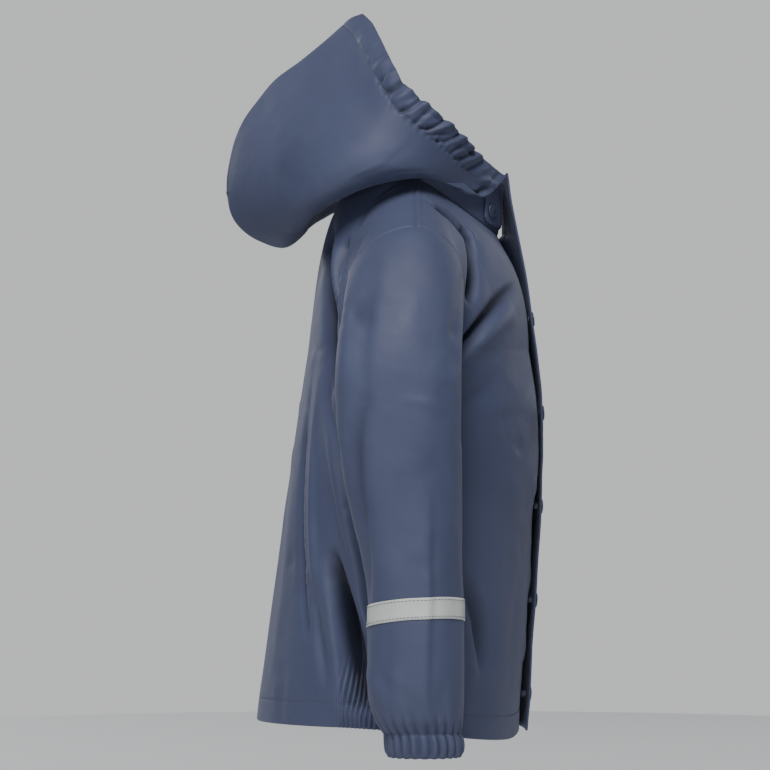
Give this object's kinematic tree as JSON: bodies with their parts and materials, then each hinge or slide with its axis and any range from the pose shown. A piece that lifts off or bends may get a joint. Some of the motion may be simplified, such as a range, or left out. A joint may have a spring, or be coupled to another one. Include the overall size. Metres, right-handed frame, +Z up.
{
  "type": "kids hooded raincoat",
  "caption": "Worn-shape kids raincoat with a standing hood, stand collar, storm flap with press studs, and elastic cuffs, hood edge and back hem",
  "frame": {"origin": "Middle of the neck base, at the height of the two side neck points, where a wearer's neck and shoulders hold the coat", "axes": "+Z up along the body, -Y to the front, -X to the wearer's right"},
  "size_m": [0.4638, 0.2861, 0.6491],
  "materials": {
    "coated_cloth": "satin coated cloth, navy",
    "reflective_tape": "light grey retroreflective tape",
    "press_stud": "satin navy cap"
  },
  "bodies": {
    "root": {"front_right": "coated_cloth", "front_left": "coated_cloth", "back": "coated_cloth", "back_hem": "coated_cloth", "sleeve_right": "coated_cloth", "sleeve_left": "coated_cloth", "reflective_strip_right": "reflective_tape", "reflective_strip_left": "reflective_tape", "cuff_right": "coated_cloth", "cuff_left": "coated_cloth", "collar": "coated_cloth", "hood_right": "coated_cloth", "hood_left": "coated_cloth", "hood_hem_right": "coated_cloth", "hood_hem_left": "coated_cloth", "hood_tab_right": "coated_cloth", "hood_tab_left": "coated_cloth", "storm_flap": "coated_cloth", "tab_stud_right": "press_stud", "tab_stud_left": "press_stud", "flap_stud_1": "press_stud", "stud_post_1": "press_stud", "flap_stud_2": "press_stud", "stud_post_2": "press_stud", "flap_stud_3": "press_stud", "stud_post_3": "press_stud", "flap_stud_4": "press_stud", "stud_post_4": "press_stud", "flap_stud_5": "press_stud", "stud_post_5": "press_stud"}
  },
  "joints": []
}
